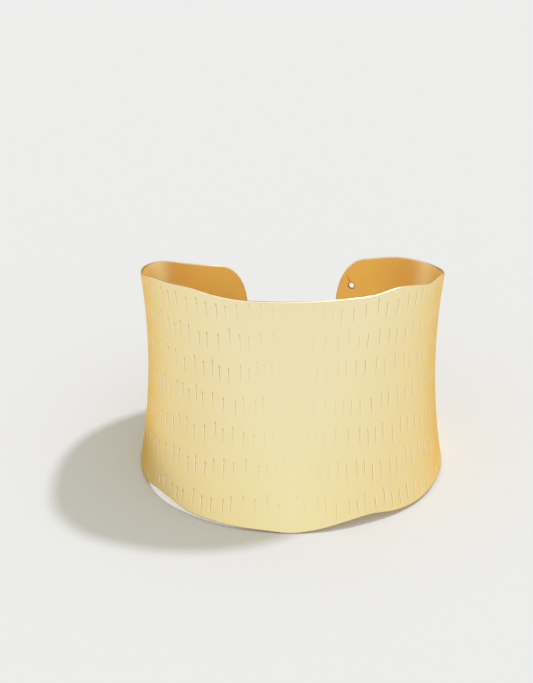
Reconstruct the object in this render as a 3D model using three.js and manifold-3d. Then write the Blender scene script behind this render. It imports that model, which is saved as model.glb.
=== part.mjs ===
// A cuff bracelet: one sheet of brass, cut with wavy rims and rounded corners, then formed
// into an open oval whose rims flare out from a narrower waist. It stands on its lower rim,
// front towards -Y and opening towards +Y. Millimetres and degrees, +Z up.
//
// A place on the sheet is named by two numbers: its angle round the wrist (0 at the middle of
// the front, positive towards +X) and its height over the waist line, measured on the cuff's
// own upright axis before it leans back to rest.

import * as THREE from 'three';
import { mergeVertices } from 'three/addons/utils/BufferGeometryUtils.js';
import Module from 'manifold-3d';

// ---- driving dimensions ------------------------------------------------------------------

const THICKNESS = 0.6;

// The waist is an oval, a little squarer than an ellipse; the opening is centred on the back.
const WAIST = { halfWidth: 31.4, halfDepth: 24, squareness: 2.17 };

// How far the sheet stands out from the waist at `reach` above or below it.
const FLARE = { reach: 25, front: 3.1, side: 2.1, back: 3 };

// The two ends, the stretch over which each rounds off, and the share of the height that
// stays straight between the rounded corners.
const ENDS = { left: -162, right: 162, corner: 12, cornerPower: 2.2, straightShare: 0.25 };

// The wavy rims: heights of the sheet above and below the waist line, round the cuff.
const RIMS = [
  { angle: -162, above: 13.2, below: 13.9 },
  { angle: -150, above: 13.7, below: 15.2 },
  { angle: -135, above: 15.8, below: 17.1 },
  { angle: -120, above: 18.5, below: 18.9 },
  { angle: -105, above: 20.2, below: 21.5 },
  { angle: -92, above: 21.5, below: 22.4 },
  { angle: -80, above: 22.7, below: 23.4 },
  { angle: -70, above: 24.2, below: 24.2 },
  { angle: -60, above: 25.6, below: 24.0 },
  { angle: -50, above: 26.2, below: 24.7 },
  { angle: -40, above: 26.7, below: 26.1 },
  { angle: -30, above: 26.1, below: 26.8 },
  { angle: -20, above: 25.7, below: 27.3 },
  { angle: -10, above: 25.8, below: 27.6 },
  { angle: 0, above: 25.9, below: 28.0 },
  { angle: 10, above: 26.1, below: 27.3 },
  { angle: 20, above: 26.2, below: 26.1 },
  { angle: 30, above: 26.2, below: 25.2 },
  { angle: 40, above: 26.9, below: 25.6 },
  { angle: 50, above: 26.0, below: 25.5 },
  { angle: 60, above: 24.7, below: 24.8 },
  { angle: 70, above: 24.7, below: 23.8 },
  { angle: 80, above: 23.1, below: 23.3 },
  { angle: 92, above: 21.5, below: 22.4 },
  { angle: 105, above: 20.0, below: 21.5 },
  { angle: 120, above: 18.7, below: 18.9 },
  { angle: 135, above: 17.5, below: 17.1 },
  { angle: 150, above: 15.5, below: 15.2 },
  { angle: 162, above: 14.4, below: 13.9 },
];

// A hanging hole punched near one end.
const HOLE = { angle: 155.4, height: 8.9, diameter: 1.2, sides: 20 };

// At rest the cuff leans back until its lower rim lies level; the rim's three low places are
// dressed flat to this depth so that they sit on the table.
const REST = { lean: 10.9, flatDepth: 0.15 };

// How finely the sheet is divided along its length and over its height.
const DIVISIONS = { length: 84, height: 12 };

const GOLD = new THREE.MeshStandardMaterial({ color: 0xe9c57f, metalness: 1, roughness: 0.32 });

// ---- the formed sheet --------------------------------------------------------------------

const radians = THREE.MathUtils.degToRad;

/** One of the RIMS columns at an angle, as a smooth curve through the rows. */
function rimHeight(column, angle) {
  const last = RIMS.length - 1;
  const next = RIMS.findIndex((row) => row.angle >= angle);
  const i = THREE.MathUtils.clamp(next < 0 ? last - 1 : next - 1, 0, last - 1);
  const slope = (k) => {
    const a = RIMS[Math.max(k - 1, 0)];
    const b = RIMS[Math.min(k + 1, last)];
    return (b[column] - a[column]) / (b.angle - a.angle);
  };
  const span = RIMS[i + 1].angle - RIMS[i].angle;
  const t = (angle - RIMS[i].angle) / span;
  const bend = t * t * (3 - 2 * t);
  return RIMS[i][column] * (1 - bend) + RIMS[i + 1][column] * bend
    + span * t * (1 - t) * (slope(i) * (1 - t) - slope(i + 1) * t);
}

/** The share of the full height that is left at an angle, less than 1 only in the corners. */
function cornerShare(angle) {
  const end = angle < 0 ? -ENDS.left : ENDS.right;
  const into = THREE.MathUtils.clamp((Math.abs(angle) - end + ENDS.corner) / ENDS.corner, 0, 1);
  const round = (1 - into ** ENDS.cornerPower) ** (1 / ENDS.cornerPower);
  return ENDS.straightShare + (1 - ENDS.straightShare) * round;
}

/** The heights of the lower and the upper rim at an angle, with the corners rounded off. */
function rims(angle) {
  const above = rimHeight('above', angle);
  const below = rimHeight('below', angle);
  const middle = (above - below) / 2;
  const half = (above + below) / 2 * cornerShare(angle);
  return { low: middle - half, high: middle + half };
}

/** A point of the outer face, on the upright cuff. */
function outerPoint(angle, height) {
  const s = Math.sin(radians(angle));
  const c = Math.cos(radians(angle));
  const n = WAIST.squareness;
  const radius = (Math.abs(s) ** n + Math.abs(c) ** n) ** (-1 / n);
  const outward = new THREE.Vector2(s / WAIST.halfWidth, -c / WAIST.halfDepth).normalize();
  const endways = c > 0 ? FLARE.front : FLARE.back;
  const flare = (FLARE.side + (endways - FLARE.side) * c * c) * (height / FLARE.reach) ** 2;
  return new THREE.Vector3(
    WAIST.halfWidth * radius * s + outward.x * flare,
    -WAIST.halfDepth * radius * c + outward.y * flare,
    height,
  );
}

/** The direction that points out of the sheet. */
function outwardNormal(angle, height) {
  const step = 0.05;
  const along = outerPoint(angle + step, height).sub(outerPoint(angle - step, height));
  const up = outerPoint(angle, height + step).sub(outerPoint(angle, height - step));
  return along.cross(up).normalize();
}

/** A point of the upright cuff; depth 0 is the outer face and 1 the inner face. */
function sheetPoint(angle, height, depth) {
  return outerPoint(angle, height).addScaledVector(outwardNormal(angle, height), -THICKNESS * depth);
}

/** Even steps along the band, closing up towards the two ends so that the corners stay round. */
function stationAngle(share) {
  const crowd = 0.05 * Math.sin(2 * Math.PI * share);
  return THREE.MathUtils.lerp(ENDS.left, ENDS.right, share - crowd);
}

/** The flat blank as a divided box, each of its points then carried to its place on the cuff. */
function formedSheet() {
  const blank = new THREE.BoxGeometry(1, 1, 1, DIVISIONS.length, 1, DIVISIONS.height);
  const points = blank.attributes.position;
  for (let i = 0; i < points.count; i += 1) {
    const angle = stationAngle(points.getX(i) + 0.5);
    const { low, high } = rims(angle);
    const height = THREE.MathUtils.lerp(low, high, points.getZ(i) + 0.5);
    const { x, y, z } = sheetPoint(angle, height, points.getY(i) + 0.5);
    points.setXYZ(i, x, y, z);
  }
  return blank;
}

/** The punch for the hanging hole, square to the sheet. */
function holePunch() {
  const radius = HOLE.diameter / 2;
  const punch = new THREE.CylinderGeometry(radius, radius, 4 * THICKNESS, HOLE.sides);
  const axis = outwardNormal(HOLE.angle, HOLE.height);
  punch.applyQuaternion(new THREE.Quaternion().setFromUnitVectors(new THREE.Vector3(0, 1, 0), axis));
  const { x, y, z } = sheetPoint(HOLE.angle, HOLE.height, 0.5);
  return punch.translate(x, y, z);
}

// ---- cutting and resting -----------------------------------------------------------------

const wasm = await Module();
wasm.setup();

/** A closed three.js geometry as a solid that can be cut. */
function solidOf(geometry) {
  const bare = geometry.clone();
  bare.deleteAttribute('normal');
  bare.deleteAttribute('uv');
  const merged = mergeVertices(bare, 1e-4);
  return new wasm.Manifold(new wasm.Mesh({
    numProp: 3,
    vertProperties: new Float32Array(merged.attributes.position.array),
    triVerts: new Uint32Array(merged.index.array),
  }));
}

/** A solid back as a three.js geometry. */
function geometryOf(solid) {
  const mesh = solid.getMesh();
  const geometry = new THREE.BufferGeometry();
  geometry.setAttribute('position', new THREE.BufferAttribute(new Float32Array(mesh.vertProperties), 3));
  geometry.setIndex(new THREE.BufferAttribute(new Uint32Array(mesh.triVerts), 1));
  return geometry;
}

/** Leans the cuff back and sets it over the origin with its lowest point `flatDepth` under z = 0. */
function leanBack(geometry) {
  geometry.rotateX(-radians(REST.lean));
  geometry.computeBoundingBox();
  const box = geometry.boundingBox;
  const middle = box.getCenter(new THREE.Vector3());
  return geometry.translate(-middle.x, -middle.y, -box.min.z - REST.flatDepth);
}

/** The table's own volume under z = 0, which dresses the low places of the lower rim flat. */
function underTable() {
  const across = 4 * WAIST.halfWidth;
  return new THREE.BoxGeometry(across, across, across).translate(0, 0, -across / 2);
}

/** The whole cuff: the formed sheet with its hanging hole, at rest. */
function cuffBand() {
  const pierced = solidOf(formedSheet()).subtract(solidOf(holePunch()));
  const standing = solidOf(leanBack(geometryOf(pierced))).subtract(solidOf(underTable()));
  const geometry = geometryOf(standing);
  geometry.computeVertexNormals();
  const band = new THREE.Mesh(geometry, GOLD);
  band.name = 'cuff_band';
  return band;
}

const cuff = new THREE.Group();
cuff.add(cuffBand());

export default cuff;
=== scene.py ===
"""An open cuff bracelet of gold-plated brass, standing on a pale table.

The cuff is one thin sheet: chisel-marked and satin outside, bright inside, with a polished cut
edge and a small hanging hole near one end. Every point of it is named by its place on the
sheet before forming: `along`, millimetres along the waist line from the middle of the front,
and `height`, millimetres over the waist line. Sizes are in millimetres until a mesh is made.
"""

import logging
import math
import random
from dataclasses import dataclass, field
from enum import Enum

import bpy
import numpy as np
from mathutils import Matrix, Vector
from mathutils.geometry import delaunay_2d_cdt


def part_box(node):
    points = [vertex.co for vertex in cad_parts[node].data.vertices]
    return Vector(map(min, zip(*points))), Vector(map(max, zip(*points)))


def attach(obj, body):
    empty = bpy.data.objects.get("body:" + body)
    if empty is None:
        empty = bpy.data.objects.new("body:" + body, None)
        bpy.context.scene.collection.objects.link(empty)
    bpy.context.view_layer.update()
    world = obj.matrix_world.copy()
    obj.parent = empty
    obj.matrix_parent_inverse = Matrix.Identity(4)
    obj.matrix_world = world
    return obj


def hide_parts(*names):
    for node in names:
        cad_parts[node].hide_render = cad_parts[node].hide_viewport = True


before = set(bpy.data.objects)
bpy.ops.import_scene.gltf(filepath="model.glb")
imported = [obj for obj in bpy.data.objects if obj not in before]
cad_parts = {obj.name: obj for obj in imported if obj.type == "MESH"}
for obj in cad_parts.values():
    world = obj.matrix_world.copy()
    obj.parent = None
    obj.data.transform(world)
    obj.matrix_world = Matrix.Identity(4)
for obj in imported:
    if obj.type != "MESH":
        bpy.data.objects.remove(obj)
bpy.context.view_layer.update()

LOG = logging.getLogger("cuff")
MM = 0.001


# ---- the sheet's form ---------------------------------------------------------------------


@dataclass(frozen=True)
class RimRow:
    """One row of the rim table: how far the sheet reaches above and below the waist line."""

    angle: float
    above: float
    below: float


RIM_ROWS = (
    RimRow(-162, 13.2, 13.9),
    RimRow(-150, 13.7, 15.2),
    RimRow(-135, 15.8, 17.1),
    RimRow(-120, 18.5, 18.9),
    RimRow(-105, 20.2, 21.5),
    RimRow(-92, 21.5, 22.4),
    RimRow(-80, 22.7, 23.4),
    RimRow(-70, 24.2, 24.2),
    RimRow(-60, 25.6, 24.0),
    RimRow(-50, 26.2, 24.7),
    RimRow(-40, 26.7, 26.1),
    RimRow(-30, 26.1, 26.8),
    RimRow(-20, 25.7, 27.3),
    RimRow(-10, 25.8, 27.6),
    RimRow(0, 25.9, 28.0),
    RimRow(10, 26.1, 27.3),
    RimRow(20, 26.2, 26.1),
    RimRow(30, 26.2, 25.2),
    RimRow(40, 26.9, 25.6),
    RimRow(50, 26.0, 25.5),
    RimRow(60, 24.7, 24.8),
    RimRow(70, 24.7, 23.8),
    RimRow(80, 23.1, 23.3),
    RimRow(92, 21.5, 22.4),
    RimRow(105, 20.0, 21.5),
    RimRow(120, 18.7, 18.9),
    RimRow(135, 17.5, 17.1),
    RimRow(150, 15.5, 15.2),
    RimRow(162, 14.4, 13.9),
)


@dataclass(frozen=True)
class CuffForm:
    """The surface that the flat sheet is bent to, and the way it leans when it stands."""

    half_width: float = 31.4
    half_depth: float = 24.0
    squareness: float = 2.17
    thickness: float = 0.6
    flare_reach: float = 25.0
    flare_front: float = 3.1
    flare_side: float = 2.1
    flare_back: float = 3.0
    end_angle: float = 162.0
    corner: float = 12.0
    corner_power: float = 2.2
    straight_share: float = 0.25
    lean: float = 10.9
    rows: tuple[RimRow, ...] = RIM_ROWS

    def rim(self, column: str, angle: np.ndarray) -> np.ndarray:
        """A column of the rim table as a smooth curve.

        Args:
            column: "above" or "below".
            angle: degrees round the wrist.

        Returns:
            The column's value at each angle, in millimetres.
        """
        at = np.array([row.angle for row in self.rows])
        value = np.array([getattr(row, column) for row in self.rows])
        before = np.r_[0, np.arange(len(at) - 1)]
        after = np.r_[np.arange(1, len(at)), len(at) - 1]
        slope = (value[after] - value[before]) / (at[after] - at[before])
        i = np.clip(np.searchsorted(at, angle) - 1, 0, len(at) - 2)
        span = at[i + 1] - at[i]
        t = (angle - at[i]) / span
        bend = t * t * (3 - 2 * t)
        sway = span * t * (1 - t) * (slope[i] * (1 - t) - slope[i + 1] * t)
        return value[i] * (1 - bend) + value[i + 1] * bend + sway

    def rims(self, angle: np.ndarray) -> tuple[np.ndarray, np.ndarray]:
        """The heights of the lower and upper rim.

        Args:
            angle: degrees round the wrist.

        Returns:
            The lower and the upper height, with the end corners rounded off.
        """
        into = np.clip((np.abs(angle) - self.end_angle + self.corner) / self.corner, 0, 1)
        rounding = (1 - into**self.corner_power) ** (1 / self.corner_power)
        share = self.straight_share + (1 - self.straight_share) * rounding
        above, below = self.rim("above", angle), self.rim("below", angle)
        middle, half = (above - below) / 2, (above + below) / 2 * share
        return middle - half, middle + half

    def outer(self, angle: np.ndarray, height: np.ndarray) -> np.ndarray:
        """Points of the outer face on the upright cuff.

        Args:
            angle: degrees round the wrist, 0 at the front.
            height: millimetres over the waist line.

        Returns:
            One row of x, y, z for each pair.
        """
        s, c = np.sin(np.radians(angle)), np.cos(np.radians(angle))
        radius = (np.abs(s) ** self.squareness + np.abs(c) ** self.squareness) ** (-1 / self.squareness)
        out_x, out_y = s / self.half_width, -c / self.half_depth
        size = np.hypot(out_x, out_y)
        endways = np.where(c > 0, self.flare_front, self.flare_back)
        flare = (self.flare_side + (endways - self.flare_side) * c * c) * (height / self.flare_reach) ** 2
        x = self.half_width * radius * s + out_x / size * flare
        y = -self.half_depth * radius * c + out_y / size * flare
        return np.stack([x, y, height + 0 * x], axis=-1)

    def axes(self, angle: np.ndarray, height: np.ndarray) -> tuple[np.ndarray, np.ndarray, np.ndarray]:
        """The sheet's own directions.

        Args:
            angle: degrees round the wrist.
            height: millimetres over the waist line.

        Returns:
            The unit directions along the sheet, up the sheet and out of it.
        """
        step = 0.05
        along = self.outer(angle + step, height) - self.outer(angle - step, height)
        up = self.outer(angle, height + step) - self.outer(angle, height - step)
        along /= np.linalg.norm(along, axis=-1, keepdims=True)
        up /= np.linalg.norm(up, axis=-1, keepdims=True)
        out = np.cross(along, up)
        return along, up, out / np.linalg.norm(out, axis=-1, keepdims=True)


@dataclass
class FlatPattern:
    """The sheet laid flat: turns millimetres along the waist line into angles and back."""

    form: CuffForm
    stations: int = 3241
    angles: np.ndarray = field(init=False)
    lengths: np.ndarray = field(init=False)

    def __post_init__(self) -> None:
        """Measures the waist line in small steps."""
        self.angles = np.linspace(-self.form.end_angle, self.form.end_angle, self.stations)
        waist = self.form.outer(self.angles, np.zeros_like(self.angles))
        steps = np.linalg.norm(np.diff(waist, axis=0), axis=1)
        self.lengths = np.r_[0, np.cumsum(steps)]
        self.lengths -= np.interp(0, self.angles, self.lengths)

    def angle(self, along: np.ndarray) -> np.ndarray:
        """The angle at a place along the waist line."""
        return np.interp(along, self.lengths, self.angles)

    def along(self, angle: np.ndarray) -> np.ndarray:
        """The place along the waist line at an angle."""
        return np.interp(angle, self.angles, self.lengths)

    def outline(self, step: float = 0.7, corner_steps: int = 14, end_steps: int = 6) -> np.ndarray:
        """The edge of the flat sheet, anticlockwise from the left end of the lower rim.

        Args:
            step: spacing along the straight parts of the rims.
            corner_steps: steps round each rounded corner.
            end_steps: steps up each straight end.

        Returns:
            One row of along and height for each point.
        """
        form = self.form
        start = form.end_angle - form.corner
        reach = float(self.along(np.array(start)))
        count = round(2 * reach / step)
        middle = self.angle(np.linspace(-reach, reach, count))
        turn = np.sin(np.linspace(0, math.pi / 2, corner_steps + 1)[1:]) ** (2 / form.corner_power)
        corner = start + form.corner * turn
        sweep = np.r_[-corner[::-1], middle, corner]
        low, high = form.rims(sweep)
        place = self.along(sweep)
        lower = np.stack([place, low], axis=1)
        upper = np.stack([place, high], axis=1)[::-1]
        rise = np.linspace(0, 1, end_steps + 1)[1:-1, None]
        right_end = lower[-1] + (upper[0] - lower[-1]) * rise
        left_end = upper[-1] + (lower[0] - upper[-1]) * rise
        return np.concatenate([lower, right_end, upper, left_end])


# ---- marks cut into the sheet ---------------------------------------------------------------

# How a mark runs: how far the painted shade at its head reaches, the lead-in before its head,
# where it is sampled, and how its width falls off.
HEAD_SHADE_LENGTH = 0.38
LEAD_SHARE = 0.7
FIRST_STOP = 0.16
STOPS = 6
TAIL_WIDTH = 0.75
HEAD_WIDENING = 0.35
WIDENING_LENGTH = 0.9


@dataclass(frozen=True)
class Groove:
    """One mark: a tapering groove that starts deep at `head` and runs out at `tail`."""

    head: tuple[float, float]
    tail: tuple[float, float]
    half_width: float
    depth: float
    dot: float = 1.0

    def points(self) -> np.ndarray:
        """The places a mesh needs for this groove.

        Returns:
            Rows of along, height, depth, depth's slope along, its slope up, and the painted shade at the
            head.
        """
        start, end = np.array(self.head), np.array(self.tail)
        length = float(np.linalg.norm(end - start))
        run = (end - start) / length
        side = np.array([-run[1], run[0]])
        lead = LEAD_SHARE * self.half_width
        stops = np.r_[-lead, 0.0, lead, np.linspace(FIRST_STOP, 1.0, STOPS) * length]
        rows = []
        for stop in stops:
            envelope, envelope_slope = self.envelope(stop, lead, length)
            widening = HEAD_WIDENING * math.exp(-max(stop, 0) / WIDENING_LENGTH)
            width = self.half_width * (TAIL_WIDTH + widening)
            for across in (-1.0, -0.5, 0.0, 0.5, 1.0):
                cut = math.cos(math.pi / 2 * across) ** 2
                cut_slope = -math.pi / 2 / width * math.sin(math.pi * across)
                place = start + run * stop + side * across * width
                slope = self.depth * (cut_slope * envelope * side + cut * envelope_slope * run)
                # Painted shade at the head, where the groove starts steep.
                dot = self.dot * cut * envelope * math.exp(-((stop / HEAD_SHADE_LENGTH) ** 2))
                rows.append([*place, self.depth * cut * envelope, *slope, dot])
        return np.array(rows)

    @staticmethod
    def envelope(stop: float, lead: float, length: float) -> tuple[float, float]:
        """The groove's profile along its run.

        Args:
            stop: distance from the head.
            lead: half the length of the steep start.
            length: the groove's whole length.

        Returns:
            The share of the full depth, and how fast it changes.
        """
        if stop < lead:
            t = (stop + lead) / (2 * lead)
            return t * t * (3 - 2 * t), 6 * t * (1 - t) / (2 * lead)
        t = (stop - lead) / (length - lead)
        return 1 - t**3, -3 * t * t / (length - lead)


@dataclass(frozen=True)
class ChiselWork:
    """The rows of short upright chisel marks that cover the outer face."""

    row_pitch: float = 7.67
    first_row: float = -21.0
    rows: int = 7
    spacing: float = 2.15
    spacing_jitter: float = 0.6
    height_jitter: float = 1.1
    length: float = 4.3
    length_jitter: float = 0.5
    half_width: float = 0.25
    depth: float = 0.055
    light_touch: float = 0.16
    rim_gap: float = 0.45
    shortest: float = 1.3
    plain_front: float = 17.0
    low_reach: float = 24.0
    low_firmness: float = 0.7
    end_gap: float = 2.2
    slant: float = 0.12
    softest_blow: float = 0.7
    hardest_blow: float = 1.25
    head_shade_strength: float = 0.35
    head_shade_fade: float = 30.0
    seed: int = 7

    def grooves(self, pattern: FlatPattern) -> list[Groove]:
        """Places every mark, row by row, each with the small unevenness of hand work.

        Args:
            pattern: the flat sheet.

        Returns:
            The marks that fit between the rims.
        """
        hand = random.Random(self.seed)
        reach = pattern.lengths[-1] - self.end_gap
        made = []
        for row in range(self.rows):
            along = -reach + hand.random() * self.spacing
            while along < reach:
                level = self.first_row + row * self.row_pitch
                top = level + hand.uniform(-1, 1) * self.height_jitter
                length = self.length + hand.uniform(-1, 1) * self.length_jitter
                slant = hand.uniform(-1, 1) * self.slant
                touch = self.touch(along, top)
                depth = self.depth * hand.uniform(self.softest_blow, self.hardest_blow) * touch
                low, high = (float(v) for v in pattern.form.rims(pattern.angle(np.array(along))))
                head = min(top, high - self.rim_gap)
                tail = max(top - length, low + self.rim_gap)
                if head - tail > self.shortest:
                    ends = (along, head), (along + slant, tail)
                    made.append(Groove(*ends, self.half_width, depth, touch))
                along += self.spacing + hand.uniform(-1, 1) * self.spacing_jitter
        return made

    def touch(self, along: float, height: float) -> float:
        """How hard a mark is struck: lightest in the middle of the front.

        Args:
            along: place along the waist line.
            height: height of the mark's head.

        Returns:
            The share of the full depth, more low down and at the sides.
        """
        sideways = min(abs(along) / self.plain_front, 1.0)
        low = min(max(-height / self.low_reach, 0.0), self.low_firmness)
        firm = max(sideways, low)
        return self.light_touch + (1 - self.light_touch) * firm

    def flank(self, points: np.ndarray) -> np.ndarray:
        """Which flank, painted lit or shaded, each point is on: 1 faces the front's middle, -1 faces
        away.
        """
        steepest = math.pi / 2 * self.depth / self.half_width
        return -points[:, 3] / steepest * np.clip(points[:, 0] / self.plain_front, -1, 1)

    def dot(self, points: np.ndarray) -> np.ndarray:
        """The painted shade at each mark's head, plainest on the left."""
        return points[:, 5] * np.clip(self.head_shade_strength - points[:, 0] / self.head_shade_fade, 0, 1)


@dataclass(frozen=True)
class HangingHole:
    """The small punched hole near one end and the line scored from it to the corner."""

    angle: float = 155.4
    height: float = 8.9
    radius: float = 0.6
    sides: int = 32
    score_angle: float = 157.7
    score_height: float = 11.6
    score_half_width: float = 0.2
    score_depth: float = 0.12
    score_start_gap: float = 0.35
    score_end_gap: float = 0.3

    def centre(self, pattern: FlatPattern) -> np.ndarray:
        """The hole's middle on the flat sheet."""
        return np.array([float(pattern.along(np.array(self.angle))), self.height])

    def rim(self, pattern: FlatPattern, widen: float = 0.0) -> np.ndarray:
        """The hole's edge on the flat sheet, anticlockwise.

        Args:
            pattern: the flat sheet.
            widen: how much further out than the hole's own edge.

        Returns:
            One row of along and height for each point.
        """
        turn = np.linspace(0, 2 * math.pi, self.sides, endpoint=False)
        ring = np.stack([np.cos(turn), np.sin(turn)], axis=1)
        return self.centre(pattern) + (self.radius + widen) * ring

    def score(self, pattern: FlatPattern) -> Groove:
        """The scored line on the inner face.

        Args:
            pattern: the flat sheet.

        Returns:
            The line as a shallow groove.
        """
        centre = self.centre(pattern)
        end = np.array([float(pattern.along(np.array(self.score_angle))), self.score_height])
        run = (end - centre) / np.linalg.norm(end - centre)
        head = centre + run * (self.radius + self.score_start_gap)
        tail = end - run * self.score_end_gap
        return Groove(tuple(head), tuple(tail), self.score_half_width, self.score_depth)


# ---- the mesh ---------------------------------------------------------------------------------


class Face(Enum):
    """The three kinds of surface the sheet has, in the order of its material slots."""

    OUTER = 0
    INNER = 1
    EDGE = 2


@dataclass
class FormedSheet:
    """The whole cuff as one closed mesh, with true marks and softened cut edges.

    The `_clear` fields are shares of the grid, kept free of grid points round what they name.
    """

    form: CuffForm
    work: ChiselWork
    hole: HangingHole
    edge_round: float = 0.24
    edge_steps: int = 4
    grid: float = 1.3
    along_squeeze: float = 0.4
    edge_clear: float = 0.45
    hole_clear: float = 0.35
    mark_clear: float = 0.3
    mark_near: float = 3.0
    weld: float = 1e-5
    # Where the edge's painted shade is left off for the key's highlight, and where it fades out towards
    # the ends.
    unshaded_at: float = 14.0
    unshaded_reach: float = 13.0
    shade_end: float = 56.0
    shade_fade: float = 8.0

    def __post_init__(self) -> None:
        """Lays the sheet out flat."""
        self.pattern = FlatPattern(self.form)

    def face_points(self, outline: np.ndarray, ring: np.ndarray, grooves: list[Groove]) -> np.ndarray:
        """The inner points of one face: an even grid, thinned out round the marks.

        Args:
            outline: the face's edge on the flat sheet.
            ring: the hole's edge.
            grooves: the marks cut into this face.

        Returns:
            Rows of along, height, depth, depth's two slopes and the painted shade at marks' heads.
        """
        low, high = outline.min(axis=0), outline.max(axis=0)
        steps = np.arange(low[0], high[0], self.grid)
        lines = np.arange(low[1], high[1], self.grid)
        along, height = np.meshgrid(steps, lines)
        along = along + np.where(np.arange(len(lines)) % 2, 0.5, 0)[:, None] * self.grid
        even = np.stack([along.ravel(), height.ravel()], axis=1)
        keep = inside(even, outline) & (distance_to(even, outline) > self.edge_clear * self.grid)
        keep &= distance_to(even, ring) > self.hole_clear * self.grid
        keep &= ~inside(even, ring)
        cut = np.concatenate([g.points() for g in grooves])
        for g in grooves:
            near = np.abs(even[:, 0] - g.head[0]) < self.mark_near
            gap = segment_gap(even[near], np.array(g.head), np.array(g.tail))
            keep[near] &= gap > self.mark_clear * self.grid
        return np.concatenate([np.pad(even[keep], ((0, 0), (0, cut.shape[1] - 2))), cut])

    def triangles(self, outline: np.ndarray, ring: np.ndarray, points: np.ndarray) -> np.ndarray:
        """Joins one face's edge, hole and inner points with triangles.

        Args:
            outline: the face's edge.
            ring: the hole's edge.
            points: the inner points' rows.

        Returns:
            Rows of three numbers that count through the outline, the ring, then the points.
        """
        flat = np.concatenate([outline, ring, points[:, :2]])
        squeezed = flat * np.array([1, self.along_squeeze])
        n, m = len(outline), len(ring)
        edges = [(i, (i + 1) % n) for i in range(n)]
        edges += [(n + i, n + (i + 1) % m) for i in range(m)]
        places = [Vector(p) for p in squeezed.tolist()]
        verts, _, faces, sources, _, _ = delaunay_2d_cdt(places, edges, [], 0, self.weld)
        if len(verts) != len(flat):
            raise RuntimeError("the marks on the sheet run into each other")
        source = np.array([s[0] for s in sources])
        made = source[np.array(faces)]
        centre = flat[made].mean(axis=1)
        return made[inside(centre, outline) & ~inside(centre, ring)]

    def lofted(self, place: np.ndarray, depth: np.ndarray) -> np.ndarray:
        """Points of the upright cuff.

        Args:
            place: rows of along and height on the flat sheet.
            depth: how far under the outer face each point is.

        Returns:
            One row of x, y, z for each place.
        """
        angle = self.pattern.angle(place[:, 0])
        out = self.form.axes(angle, place[:, 1])[2]
        return self.form.outer(angle, place[:, 1]) - out * depth[:, None]

    def normals(self, points: np.ndarray, inward: bool) -> np.ndarray:
        """The true surface directions of a face with its marks.

        Args:
            points: rows of along, height, depth and the depth's two slopes.
            inward: whether the face is the inner one.

        Returns:
            One unit direction for each row.
        """
        angle = self.pattern.angle(points[:, 0])
        along, up, out = self.form.axes(angle, points[:, 1])
        tilt = along * points[:, 3:4] + up * points[:, 4:5]
        turned = (-out if inward else out) + tilt
        return turned / np.linalg.norm(turned, axis=1, keepdims=True)

    def standing(self, points: np.ndarray, box: tuple[np.ndarray, np.ndarray] | None) -> np.ndarray:
        """Leans points back and, with a box, moves them over the frame's origin.

        Args:
            points: points or directions of the upright cuff.
            box: the leaning sheet's lowest and highest corner, or None for directions.

        Returns:
            The points or directions as the cuff stands.
        """
        turn = np.radians(self.form.lean)
        y = points[:, 1] * math.cos(turn) + points[:, 2] * math.sin(turn)
        z = points[:, 2] * math.cos(turn) - points[:, 1] * math.sin(turn)
        leant = np.stack([points[:, 0], y, z], axis=1)
        if box is None:
            return leant
        low, high = box
        shift = np.array([-(low[0] + high[0]) / 2, -(low[1] + high[1]) / 2, self.top - high[2]])
        return leant + shift

    def edge_shade(self, places: np.ndarray) -> np.ndarray:
        """How much painted shade the inner side of the cut edge gets.

        Args:
            places: rows of along and height on the flat sheet.

        Returns:
            From 0, unshaded where the key's highlight falls right of the front, and at the ends, to 1 in
            the hole.
        """
        unshaded = np.exp(-(((places[:, 0] - self.unshaded_at) / self.unshaded_reach) ** 4))
        shade = np.clip((self.shade_end - np.abs(places[:, 0])) / self.shade_fade, 0, 1) * (1 - unshaded)
        hole = np.linalg.norm(places - self.hole.centre(self.pattern), axis=1) < 2 * self.hole.radius
        return np.where(hole, 1.0, shade)

    def build(self, name: str) -> bpy.types.Object:
        """Makes the mesh object.

        Args:
            name: the object's name.

        Returns:
            The object, in metres in the frame, without materials.
        """
        pattern, form, soft = self.pattern, self.form, self.edge_round
        outline = pattern.outline()
        inset = outline - soft * outward(outline)
        ring = self.hole.rim(pattern)
        wide_ring = self.hole.rim(pattern, soft)
        grooves = self.work.grooves(pattern)
        LOG.info("cuff sheet: %d chisel marks", len(grooves))

        outer_pts = self.face_points(inset, wide_ring, grooves)
        inner_pts = self.face_points(inset, wide_ring, [self.hole.score(pattern)])
        outer_tri = self.triangles(inset, wide_ring, outer_pts)
        inner_tri = self.triangles(inset, wide_ring, inner_pts)[:, ::-1]

        turn = np.linspace(0, math.pi / 2, self.edge_steps + 1)
        insets = np.r_[soft * (1 - np.sin(turn)), soft * (1 - np.sin(turn[::-1]))]
        depths = np.r_[soft * (1 - np.cos(turn)), form.thickness - soft * (1 - np.cos(turn[::-1]))]
        tilts = np.r_[turn, math.pi - turn[::-1]]
        loops, loop_normals = [], []
        for pull, depth, tilt in zip(insets, depths, tilts, strict=True):
            for edge, way in ((outline, outward(outline)), (ring, -outward(ring))):
                place = edge - pull * way
                loops.append(self.lofted(place, np.full(len(place), depth)))
                angle = pattern.angle(place[:, 0])
                along, up, out = form.axes(angle, place[:, 1])
                flat_way = along * way[:, :1] + up * way[:, 1:]
                loop_normals.append(out * math.cos(tilt) + flat_way * math.sin(tilt))

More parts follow.
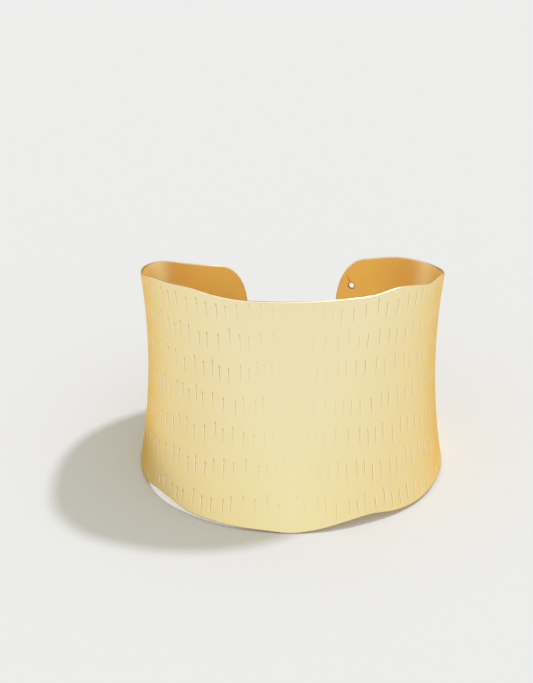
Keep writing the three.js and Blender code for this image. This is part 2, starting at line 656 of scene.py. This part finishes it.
        n, m = len(outline), len(ring)
        per_loop, count = n + m, len(depths)
        shell = np.concatenate(loops)
        outer_xyz = self.lofted(outer_pts[:, :2], outer_pts[:, 2])
        inner_xyz = self.lofted(inner_pts[:, :2], form.thickness - inner_pts[:, 2])
        points = np.concatenate([shell, outer_xyz, inner_xyz])
        normals = np.concatenate([
            np.concatenate(loop_normals), self.normals(outer_pts, False), self.normals(inner_pts, True),
        ])
        first_outer = per_loop * count
        first_inner = first_outer + len(outer_pts)
        outer_index = np.r_[np.arange(per_loop), first_outer + np.arange(len(outer_pts))]
        last = per_loop * (count - 1)
        inner_index = np.r_[last + np.arange(per_loop), first_inner + np.arange(len(inner_pts))]
        faces = [outer_index[outer_tri], inner_index[inner_tri]]
        sides = [Face.OUTER.value] * len(outer_tri) + [Face.INNER.value] * len(inner_tri)
        walls = []
        for level in range(count - 1):
            base, below = level * per_loop, (level + 1) * per_loop
            for i in range(n):
                j = (i + 1) % n
                walls.append((base + i, below + i, below + j, base + j))
            for i in range(m):
                j = (i + 1) % m
                walls.append((base + n + i, base + n + j, below + n + j, below + n + i))
        sides += [Face.EDGE.value] * len(walls)

        box = leant_box(form)
        xyz = self.standing(points, box)
        xyz[:, 2] = np.maximum(xyz[:, 2], 0)
        normal_xyz = self.standing(normals, None)
        polygons = np.concatenate(faces).tolist() + walls
        mesh = bpy.data.meshes.new(name)
        mesh.from_pydata((xyz * MM).tolist(), [], polygons)
        mesh.polygons.foreach_set("material_index", np.array(sides, dtype=np.int32))
        mesh.polygons.foreach_set("use_smooth", np.ones(len(polygons), dtype=bool))
        places = np.concatenate([
            np.tile(np.concatenate([outline, ring]), (count, 1)), outer_pts[:, :2], inner_pts[:, :2],
        ])
        # Painted light and shade on the marks' flanks follow which way each flank faces.
        flank = np.concatenate([
            np.zeros(first_outer), self.work.flank(outer_pts), np.zeros(len(inner_pts)),
        ])
        # Painted shade: the edge's inner side, the hole's wall, each mark's head and the scored line take
        # the finish's darker colour.
        tone = np.concatenate([
            np.repeat(depths / form.thickness, per_loop) * self.edge_shade(places[:first_outer]),
            self.work.dot(outer_pts), inner_pts[:, 2] / self.hole.score_depth,
        ])
        tone[last:first_outer] = 0
        write_sheet_places(mesh, places, flank, tone)
        mesh.update()
        mesh.normals_split_custom_set_from_vertices(normal_xyz.tolist())
        if mesh.validate(verbose=False):
            raise RuntimeError("the cuff's mesh had broken faces")
        made = bpy.data.objects.new(name, mesh)
        bpy.context.scene.collection.objects.link(made)
        LOG.info("cuff sheet: %d vertices, %d faces", len(xyz), len(polygons))
        return made

    @property
    def top(self) -> float:
        """The height of the cuff's highest point over the table, from the frame."""
        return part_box("cuff_band")[1][2] / MM


def inside(points: np.ndarray, polygon: np.ndarray) -> np.ndarray:
    """Which points lie inside a polygon.

    Args:
        points: one row for each point.
        polygon: its corners in order.

    Returns:
        True for each point that is inside.
    """
    found = np.zeros(len(points), dtype=bool)
    x, y = points[:, 0], points[:, 1]
    for (ax, ay), (bx, by) in zip(polygon, np.roll(polygon, -1, axis=0), strict=True):
        if ay != by:
            crosses = (ay > y) != (by > y)
            found ^= crosses & (x < (bx - ax) * (y - ay) / (by - ay) + ax)
    return found


def segment_gap(points: np.ndarray, start: np.ndarray, end: np.ndarray) -> np.ndarray:
    """The distance of each point from the line between two ends.

    Args:
        points: one row for each point.
        start: one end of the line.
        end: its other end.

    Returns:
        One distance for each point.
    """
    run = end - start
    share = np.clip((points - start) @ run / (run @ run), 0, 1)
    return np.linalg.norm(points - start - share[:, None] * run, axis=1)


def distance_to(points: np.ndarray, polygon: np.ndarray) -> np.ndarray:
    """The distance of each point from a polygon's edge.

    Args:
        points: one row for each point.
        polygon: its corners in order.

    Returns:
        One distance for each point.
    """
    nearest = np.full(len(points), np.inf)
    for start, end in zip(polygon, np.roll(polygon, -1, axis=0), strict=True):
        nearest = np.minimum(nearest, segment_gap(points, start, end))
    return nearest


def outward(polygon: np.ndarray) -> np.ndarray:
    """The direction out of a polygon at each of its corners.

    Args:
        polygon: its corners, anticlockwise.

    Returns:
        One unit direction for each corner.
    """
    run = np.roll(polygon, -1, axis=0) - np.roll(polygon, 1, axis=0)
    out = np.stack([run[:, 1], -run[:, 0]], axis=1)
    return out / np.linalg.norm(out, axis=1, keepdims=True)


def leant_box(
    form: CuffForm, stations: int = 361, levels: int = 13,
) -> tuple[np.ndarray, np.ndarray]:
    """The box of the leaning sheet, before it is moved over the origin.

    Args:
        form: the cuff's form.
        stations: how many angles are looked at.
        levels: how many heights at each angle.

    Returns:
        Its lowest and its highest corner.
    """
    angle = np.linspace(-form.end_angle, form.end_angle, stations)
    low, high = form.rims(angle)
    turn = math.radians(form.lean)
    corners = []
    for share in np.linspace(0, 1, levels):
        height = low + (high - low) * share
        outer = form.outer(angle, height)
        for point in (outer, outer - form.axes(angle, height)[2] * form.thickness):
            y = point[:, 1] * math.cos(turn) + point[:, 2] * math.sin(turn)
            z = point[:, 2] * math.cos(turn) - point[:, 1] * math.sin(turn)
            corners.append(np.stack([point[:, 0], y, z], axis=1))
    every = np.concatenate(corners)
    return every.min(axis=0), every.max(axis=0)


def write_sheet_places(
    mesh: bpy.types.Mesh, places: np.ndarray, flank: np.ndarray, tone: np.ndarray,
) -> None:
    """Gives the mesh its flat-sheet map, in millimetres, and the two values that its painted light and
    shade need.

    Args:
        mesh: the cuff's mesh.
        places: along and height of each vertex.
        flank: which flank of a mark each vertex is on, from -1 to 1.
        tone: how much of the finish's painted shade colour each vertex has, from 0 to 1.
    """
    corners = np.zeros(len(mesh.loops), dtype=np.int32)
    mesh.loops.foreach_get("vertex_index", corners)
    sheet = mesh.uv_layers.new(name="sheet_mm")
    sheet.data.foreach_set("uv", places[corners].astype(np.float32).ravel())
    for name, values in (("mark_flank", flank), ("painted_shade_share", tone)):
        made = mesh.attributes.new(name, "FLOAT", "POINT")
        made.data.foreach_set("value", values.astype(np.float32))


# ---- finishes -----------------------------------------------------------------------------------


def linear(code: str) -> tuple[float, float, float, float]:
    """An sRGB hex colour as linear red, green, blue and an alpha of 1."""
    parts = [int(code[i:i + 2], 16) / 255 for i in (1, 3, 5)]
    curve = [p / 12.92 if p <= 0.04045 else ((p + 0.055) / 1.055) ** 2.4 for p in parts]
    return curve[0], curve[1], curve[2], 1.0


def add_node(
    tree: bpy.types.NodeTree, kind: str, settings: dict | None = None, **links: object,
) -> bpy.types.Node:
    """Adds a node.

    Args:
        tree: the material's or world's node tree.
        kind: the node's bl_idname.
        settings: attributes to set on the node.
        **links: input name, spaces as underscores, or i and the input's number, to a value or
            to an output socket.

    Returns:
        The new node.
    """
    node = tree.nodes.new(kind)
    for key, value in (settings or {}).items():
        setattr(node, key, value)
    for key, value in links.items():
        numbered = key[0] == "i" and key[1:].isdigit()
        socket = node.inputs[int(key[1:]) if numbered else key.replace("_", " ")]
        if isinstance(value, bpy.types.NodeSocket):
            tree.links.new(value, socket)
        else:
            socket.default_value = value
    return node


# A tone's place on the sheet is its distance from the front's middle line, further for a lower
# point. The deepening towards the sides and low down is painted reflection, standing for dark
# things that a real studio has round it; it is no property of the plate.
TONE_REACH = 60.0
TONE_SLANT = 0.35


@dataclass(frozen=True)
class GoldFinish:
    """Gold plate on brass, told apart by colour and by how its surface was worked.

    `edge_colour` is what it reflects at a glancing angle. The flank colours are painted light and
    shade on the two sides of each mark, and the darker colour is painted shade at the marks' heads,
    in the scored line and on the edge's inner side; none of them follow the light.
    """

    name: str
    colours_with_painted_reflection: tuple[tuple[float, str], ...]
    edge_colour: str
    painted_shade_colour: str
    lit_flank: str
    shaded_flank: str
    roughness: float
    roughness_spread: float
    grain_width: float
    grain_length: float
    grain_relief: float
    swell_size: float
    swell_relief: float

    def material(self) -> bpy.types.Material:
        """Builds the metal with its brushed grain, its soft swells and its painted light and shade.

        Returns:
            The material.
        """
        made = bpy.data.materials.new(self.name)
        made.use_nodes = True
        tree = made.node_tree
        tree.nodes.clear()
        sheet = add_node(tree, "ShaderNodeUVMap", {"uv_map": "sheet_mm"})
        stretched = add_node(
            tree, "ShaderNodeMapping", Vector=sheet.outputs["UV"],
            Scale=(1 / self.grain_width, 1 / self.grain_length, 1),
        )
        grain = add_node(
            tree, "ShaderNodeTexNoise", {"noise_dimensions": "2D"}, Vector=stretched.outputs["Vector"],
            Scale=1.0, Detail=3.0, Roughness=0.6,
        )
        swells = add_node(
            tree, "ShaderNodeTexNoise", {"noise_dimensions": "2D"}, Vector=sheet.outputs["UV"],
            Scale=1 / self.swell_size, Detail=1.0, Roughness=0.4,
        )
        rough = add_node(
            tree, "ShaderNodeMapRange", Value=grain.outputs["Fac"], From_Min=0.3, From_Max=0.7,
            To_Min=self.roughness - self.roughness_spread, To_Max=self.roughness + self.roughness_spread,
        )
        tone = self.colour(tree, sheet.outputs["UV"])
        swell_bump = add_node(
            tree, "ShaderNodeBump", Strength=1.0, Distance=self.swell_relief * MM,
            Height=swells.outputs["Fac"],
        )
        bump = add_node(
            tree, "ShaderNodeBump", Strength=1.0, Distance=self.grain_relief * MM,
            Height=grain.outputs["Fac"], Normal=swell_bump.outputs["Normal"],
        )
        metal = add_node(
            tree, "ShaderNodeBsdfPrincipled", Base_Color=tone, Metallic=1.0,
            Roughness=rough.outputs["Result"], Normal=bump.outputs["Normal"],
            Specular_Tint=linear(self.edge_colour),
        )
        add_node(tree, "ShaderNodeOutputMaterial", Surface=metal.outputs["BSDF"])
        return made

    def colour(self, tree: bpy.types.NodeTree, sheet: bpy.types.NodeSocket) -> bpy.types.NodeSocket:
        """The plate's tone round the sheet with its painted reflection, then the painted shade and the
        flanks' painted light and shade over it.

        Args:
            tree: the material's node tree.
            sheet: the place on the flat sheet.

        Returns:
            The finished colour.
        """
        place = add_node(tree, "ShaderNodeSeparateXYZ", Vector=sheet)
        side = add_node(tree, "ShaderNodeMath", {"operation": "ABSOLUTE"}, i0=place.outputs["X"])
        low = add_node(
            tree, "ShaderNodeMath", {"operation": "MULTIPLY"}, i0=place.outputs["Y"],
            i1=-TONE_SLANT / TONE_REACH,
        )
        reach = add_node(
            tree, "ShaderNodeMath", {"operation": "MULTIPLY_ADD"}, i0=side.outputs[0], i1=1 / TONE_REACH,
            i2=low.outputs[0],
        )
        # The ramp's deepening towards the sides and low down is painted reflection.
        ramp = add_node(tree, "ShaderNodeValToRGB", Fac=reach.outputs[0])
        stops = ramp.color_ramp.elements
        for i, (at, code) in enumerate(self.colours_with_painted_reflection):
            stop = stops[i] if i < 2 else stops.new(at / TONE_REACH)
            stop.position, stop.color = at / TONE_REACH, linear(code)
        # Painted shade at the marks' heads, in the scored line and on the edge, then the flanks' painted
        # light and shade.
        tone = add_node(tree, "ShaderNodeAttribute", {"attribute_name": "painted_shade_share"})
        flank = add_node(tree, "ShaderNodeAttribute", {"attribute_name": "mark_flank"})
        lit = add_node(tree, "ShaderNodeMapRange", Value=flank.outputs["Fac"], From_Max=1.0)
        shaded = add_node(tree, "ShaderNodeMapRange", Value=flank.outputs["Fac"], From_Max=-1.0)
        colour = ramp.outputs["Color"]
        for share, code in (
            (tone.outputs["Fac"], self.painted_shade_colour),
            (lit.outputs["Result"], self.lit_flank),
            (shaded.outputs["Result"], self.shaded_flank),
        ):
            mix = add_node(
                tree, "ShaderNodeMix", {"data_type": "RGBA", "clamp_factor": True}, i0=share, i6=colour,
                i7=linear(code),
            )
            colour = mix.outputs[2]
        return colour


# Satin gold plate: scratch-brushed before plating, so it spreads reflections into soft pale sheets.
SATIN_OUTSIDE = GoldFinish(
    name="gold_plate_scratch_brushed",
    colours_with_painted_reflection=((8, "#fff1c3"), (26, "#fce8ae"), (44, "#fbe09c")),
    edge_colour="#f4d79e", painted_shade_colour="#c58c40", lit_flank="#fffdf0", shaded_flank="#d09a48",
    roughness=0.34, roughness_spread=0.03, grain_width=0.35, grain_length=5.0, grain_relief=0.0015,
    swell_size=16.0, swell_relief=0.05,
)

# Bright gold plate: smooth inside, where it sees mostly itself and so looks deep orange.
BRIGHT_INSIDE = GoldFinish(
    name="gold_plate_bright",
    colours_with_painted_reflection=((20, "#ffe3a0"), (50, "#ffdf98")),
    edge_colour="#fff6e4", painted_shade_colour="#9a5c14", lit_flank="#ffe2a0", shaded_flank="#ffe2a0",
    roughness=0.36, roughness_spread=0.02, grain_width=0.6, grain_length=3.0, grain_relief=0.0003,
    swell_size=14.0, swell_relief=0.03,
)

# The cut edge: filed and buffed, the brightest line on the cuff. Its inner side and the hole's
# wall get painted shade.
POLISHED_EDGE = GoldFinish(
    name="gold_plate_filed_edge",
    colours_with_painted_reflection=((20, "#fff0cc"), (50, "#fbe2ac")),
    edge_colour="#f6d9a4", painted_shade_colour="#7a3f10", lit_flank="#fff0cc", shaded_flank="#fff0cc",
    roughness=0.27, roughness_spread=0.02, grain_width=0.4, grain_length=0.4, grain_relief=0.001,
    swell_size=6.0, swell_relief=0.01,
)


@dataclass
class Cuff:
    """The bracelet: its formed sheet dressed in its three finishes."""

    sheet: FormedSheet
    finishes: dict[Face, GoldFinish]

    def place(self) -> bpy.types.Object:
        """Builds the cuff, dresses it and hands it to the frame.

        Returns:
            The cuff's one object.
        """
        made = self.sheet.build("formed_cuff")
        for face in Face:
            made.data.materials.append(self.finishes[face].material())
        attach(made, "root")
        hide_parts("cuff_band")
        return made


# ---- the table, the light and the camera --------------------------------------------------------


@dataclass(frozen=True)
class Table:
    """A wide sheet of matt, light grey paper under the cuff, which the key turns nearly white."""

    half_size: float = 3.0
    colour: str = "#bfbfc1"
    roughness: float = 0.9

    def place(self) -> bpy.types.Object:
        """Builds the paper and gives it its matt finish.

        Returns:
            The paper's object.
        """
        mesh = bpy.data.meshes.new("paper_table")
        s = self.half_size
        mesh.from_pydata([(-s, -s, 0), (s, -s, 0), (s, s, 0), (-s, s, 0)], [], [(0, 1, 2, 3)])
        made = bpy.data.objects.new("paper_table", mesh)
        bpy.context.scene.collection.objects.link(made)
        paper = bpy.data.materials.new("matt_paper")
        paper.use_nodes = True
        tree = paper.node_tree
        tree.nodes.clear()
        shader = add_node(
            tree, "ShaderNodeBsdfPrincipled", Base_Color=linear(self.colour), Roughness=self.roughness,
            Specular_IOR_Level=0.1,
        )
        add_node(tree, "ShaderNodeOutputMaterial", Surface=shader.outputs["BSDF"])
        mesh.materials.append(paper)
        return made


@dataclass(frozen=True)
class StudioLight:
    """A key from behind on the right, a soft light overhead and a pale studio round them.

    The studio is a little brighter in front than behind. `softbox_edge` and `softbox_full` are
    how high the overhead light starts and where it is full, as the sine of its elevation.
    """

    key_from: tuple[float, float, float] = (0.43, 0.33, 1.0)
    key_angle: float = 4.6
    key_strength: float = 2.25
    key_colour: str = "#f3f4ff"
    room_colour: str = "#fdfdf0"
    room_front: float = 0.88
    room_back: float = 0.8
    softbox: float = 0.6
    softbox_edge: float = 0.6
    softbox_full: float = 0.95

    def place(self) -> None:
        """Adds the key and lights the room."""
        data = bpy.data.lights.new("key", "SUN")
        data.energy = self.key_strength
        data.angle = math.radians(self.key_angle)
        data.color = linear(self.key_colour)[:3]
        key = bpy.data.objects.new("key", data)
        key.rotation_euler = Vector(self.key_from).to_track_quat("Z", "Y").to_euler()
        bpy.context.scene.collection.objects.link(key)
        world = bpy.data.worlds.new("pale_studio")
        bpy.context.scene.world = world
        world.use_nodes = True
        tree = world.node_tree
        tree.nodes.clear()
        way = add_node(tree, "ShaderNodeTexCoord")
        facing = add_node(tree, "ShaderNodeSeparateXYZ", Vector=way.outputs["Generated"])
        walls = add_node(
            tree, "ShaderNodeMapRange", Value=facing.outputs["Y"], From_Min=-1.0, To_Min=self.room_front,
            To_Max=self.room_back,
        )
        softbox = add_node(
            tree, "ShaderNodeMapRange", {"interpolation_type": "SMOOTHSTEP"}, Value=facing.outputs["Z"],
            From_Min=self.softbox_edge, From_Max=self.softbox_full, To_Max=self.softbox,
        )
        level = add_node(
            tree, "ShaderNodeMath", {"operation": "ADD"}, i0=walls.outputs["Result"],
            i1=softbox.outputs["Result"],
        )
        room = add_node(
            tree, "ShaderNodeBackground", Color=linear(self.room_colour), Strength=level.outputs["Value"],
        )
        add_node(tree, "ShaderNodeOutputWorld", Surface=room.outputs["Background"])


@dataclass(frozen=True)
class Viewpoint:
    """A long lens, a metre off, looking down on the front of the cuff."""

    elevation: float = 34.7
    distance: float = 1.0
    lens: float = 304.7
    roll: float = 0.307
    aim: tuple[float, float, float] = (-5.55, 3.66, 0.0)
    raise_aim: float = 22.9

    def place(self) -> bpy.types.Object:
        """Creates the camera and makes it the scene's own.

        Returns:
            The camera.
        """
        pitch = math.radians(self.elevation)
        forward = Vector((0, math.cos(pitch), -math.sin(pitch)))
        upward = Vector((0, math.sin(pitch), math.cos(pitch)))
        target = (Vector(self.aim) + upward * self.raise_aim) * MM
        data = bpy.data.cameras.new("camera")
        data.lens = self.lens
        data.sensor_width = 36.0
        data.sensor_fit = "HORIZONTAL"
        data.clip_start, data.clip_end = 0.05, 20.0
        made = bpy.data.objects.new("camera", data)
        tipped = Matrix.Rotation(math.pi / 2 - pitch, 4, "X")
        rolled = Matrix.Rotation(math.radians(self.roll), 4, "Z")
        made.matrix_world = Matrix.Translation(target - forward * self.distance) @ tipped @ rolled
        bpy.context.scene.collection.objects.link(made)
        bpy.context.scene.camera = made
        return made


def main() -> None:
    """Builds the camera, the table, the light and the cuff."""
    logging.basicConfig(level=logging.INFO, format="%(name)s: %(message)s")
    scene = bpy.context.scene
    scene.view_settings.view_transform = "Standard"
    Viewpoint().place()
    Table().place()
    StudioLight().place()
    finishes = {Face.OUTER: SATIN_OUTSIDE, Face.INNER: BRIGHT_INSIDE, Face.EDGE: POLISHED_EDGE}
    cuff = Cuff(FormedSheet(CuffForm(), ChiselWork(), HangingHole()), finishes)
    piece = cuff.place()
    LOG.info("placed %s", piece.name)


if __name__ == "__main__":
    main()
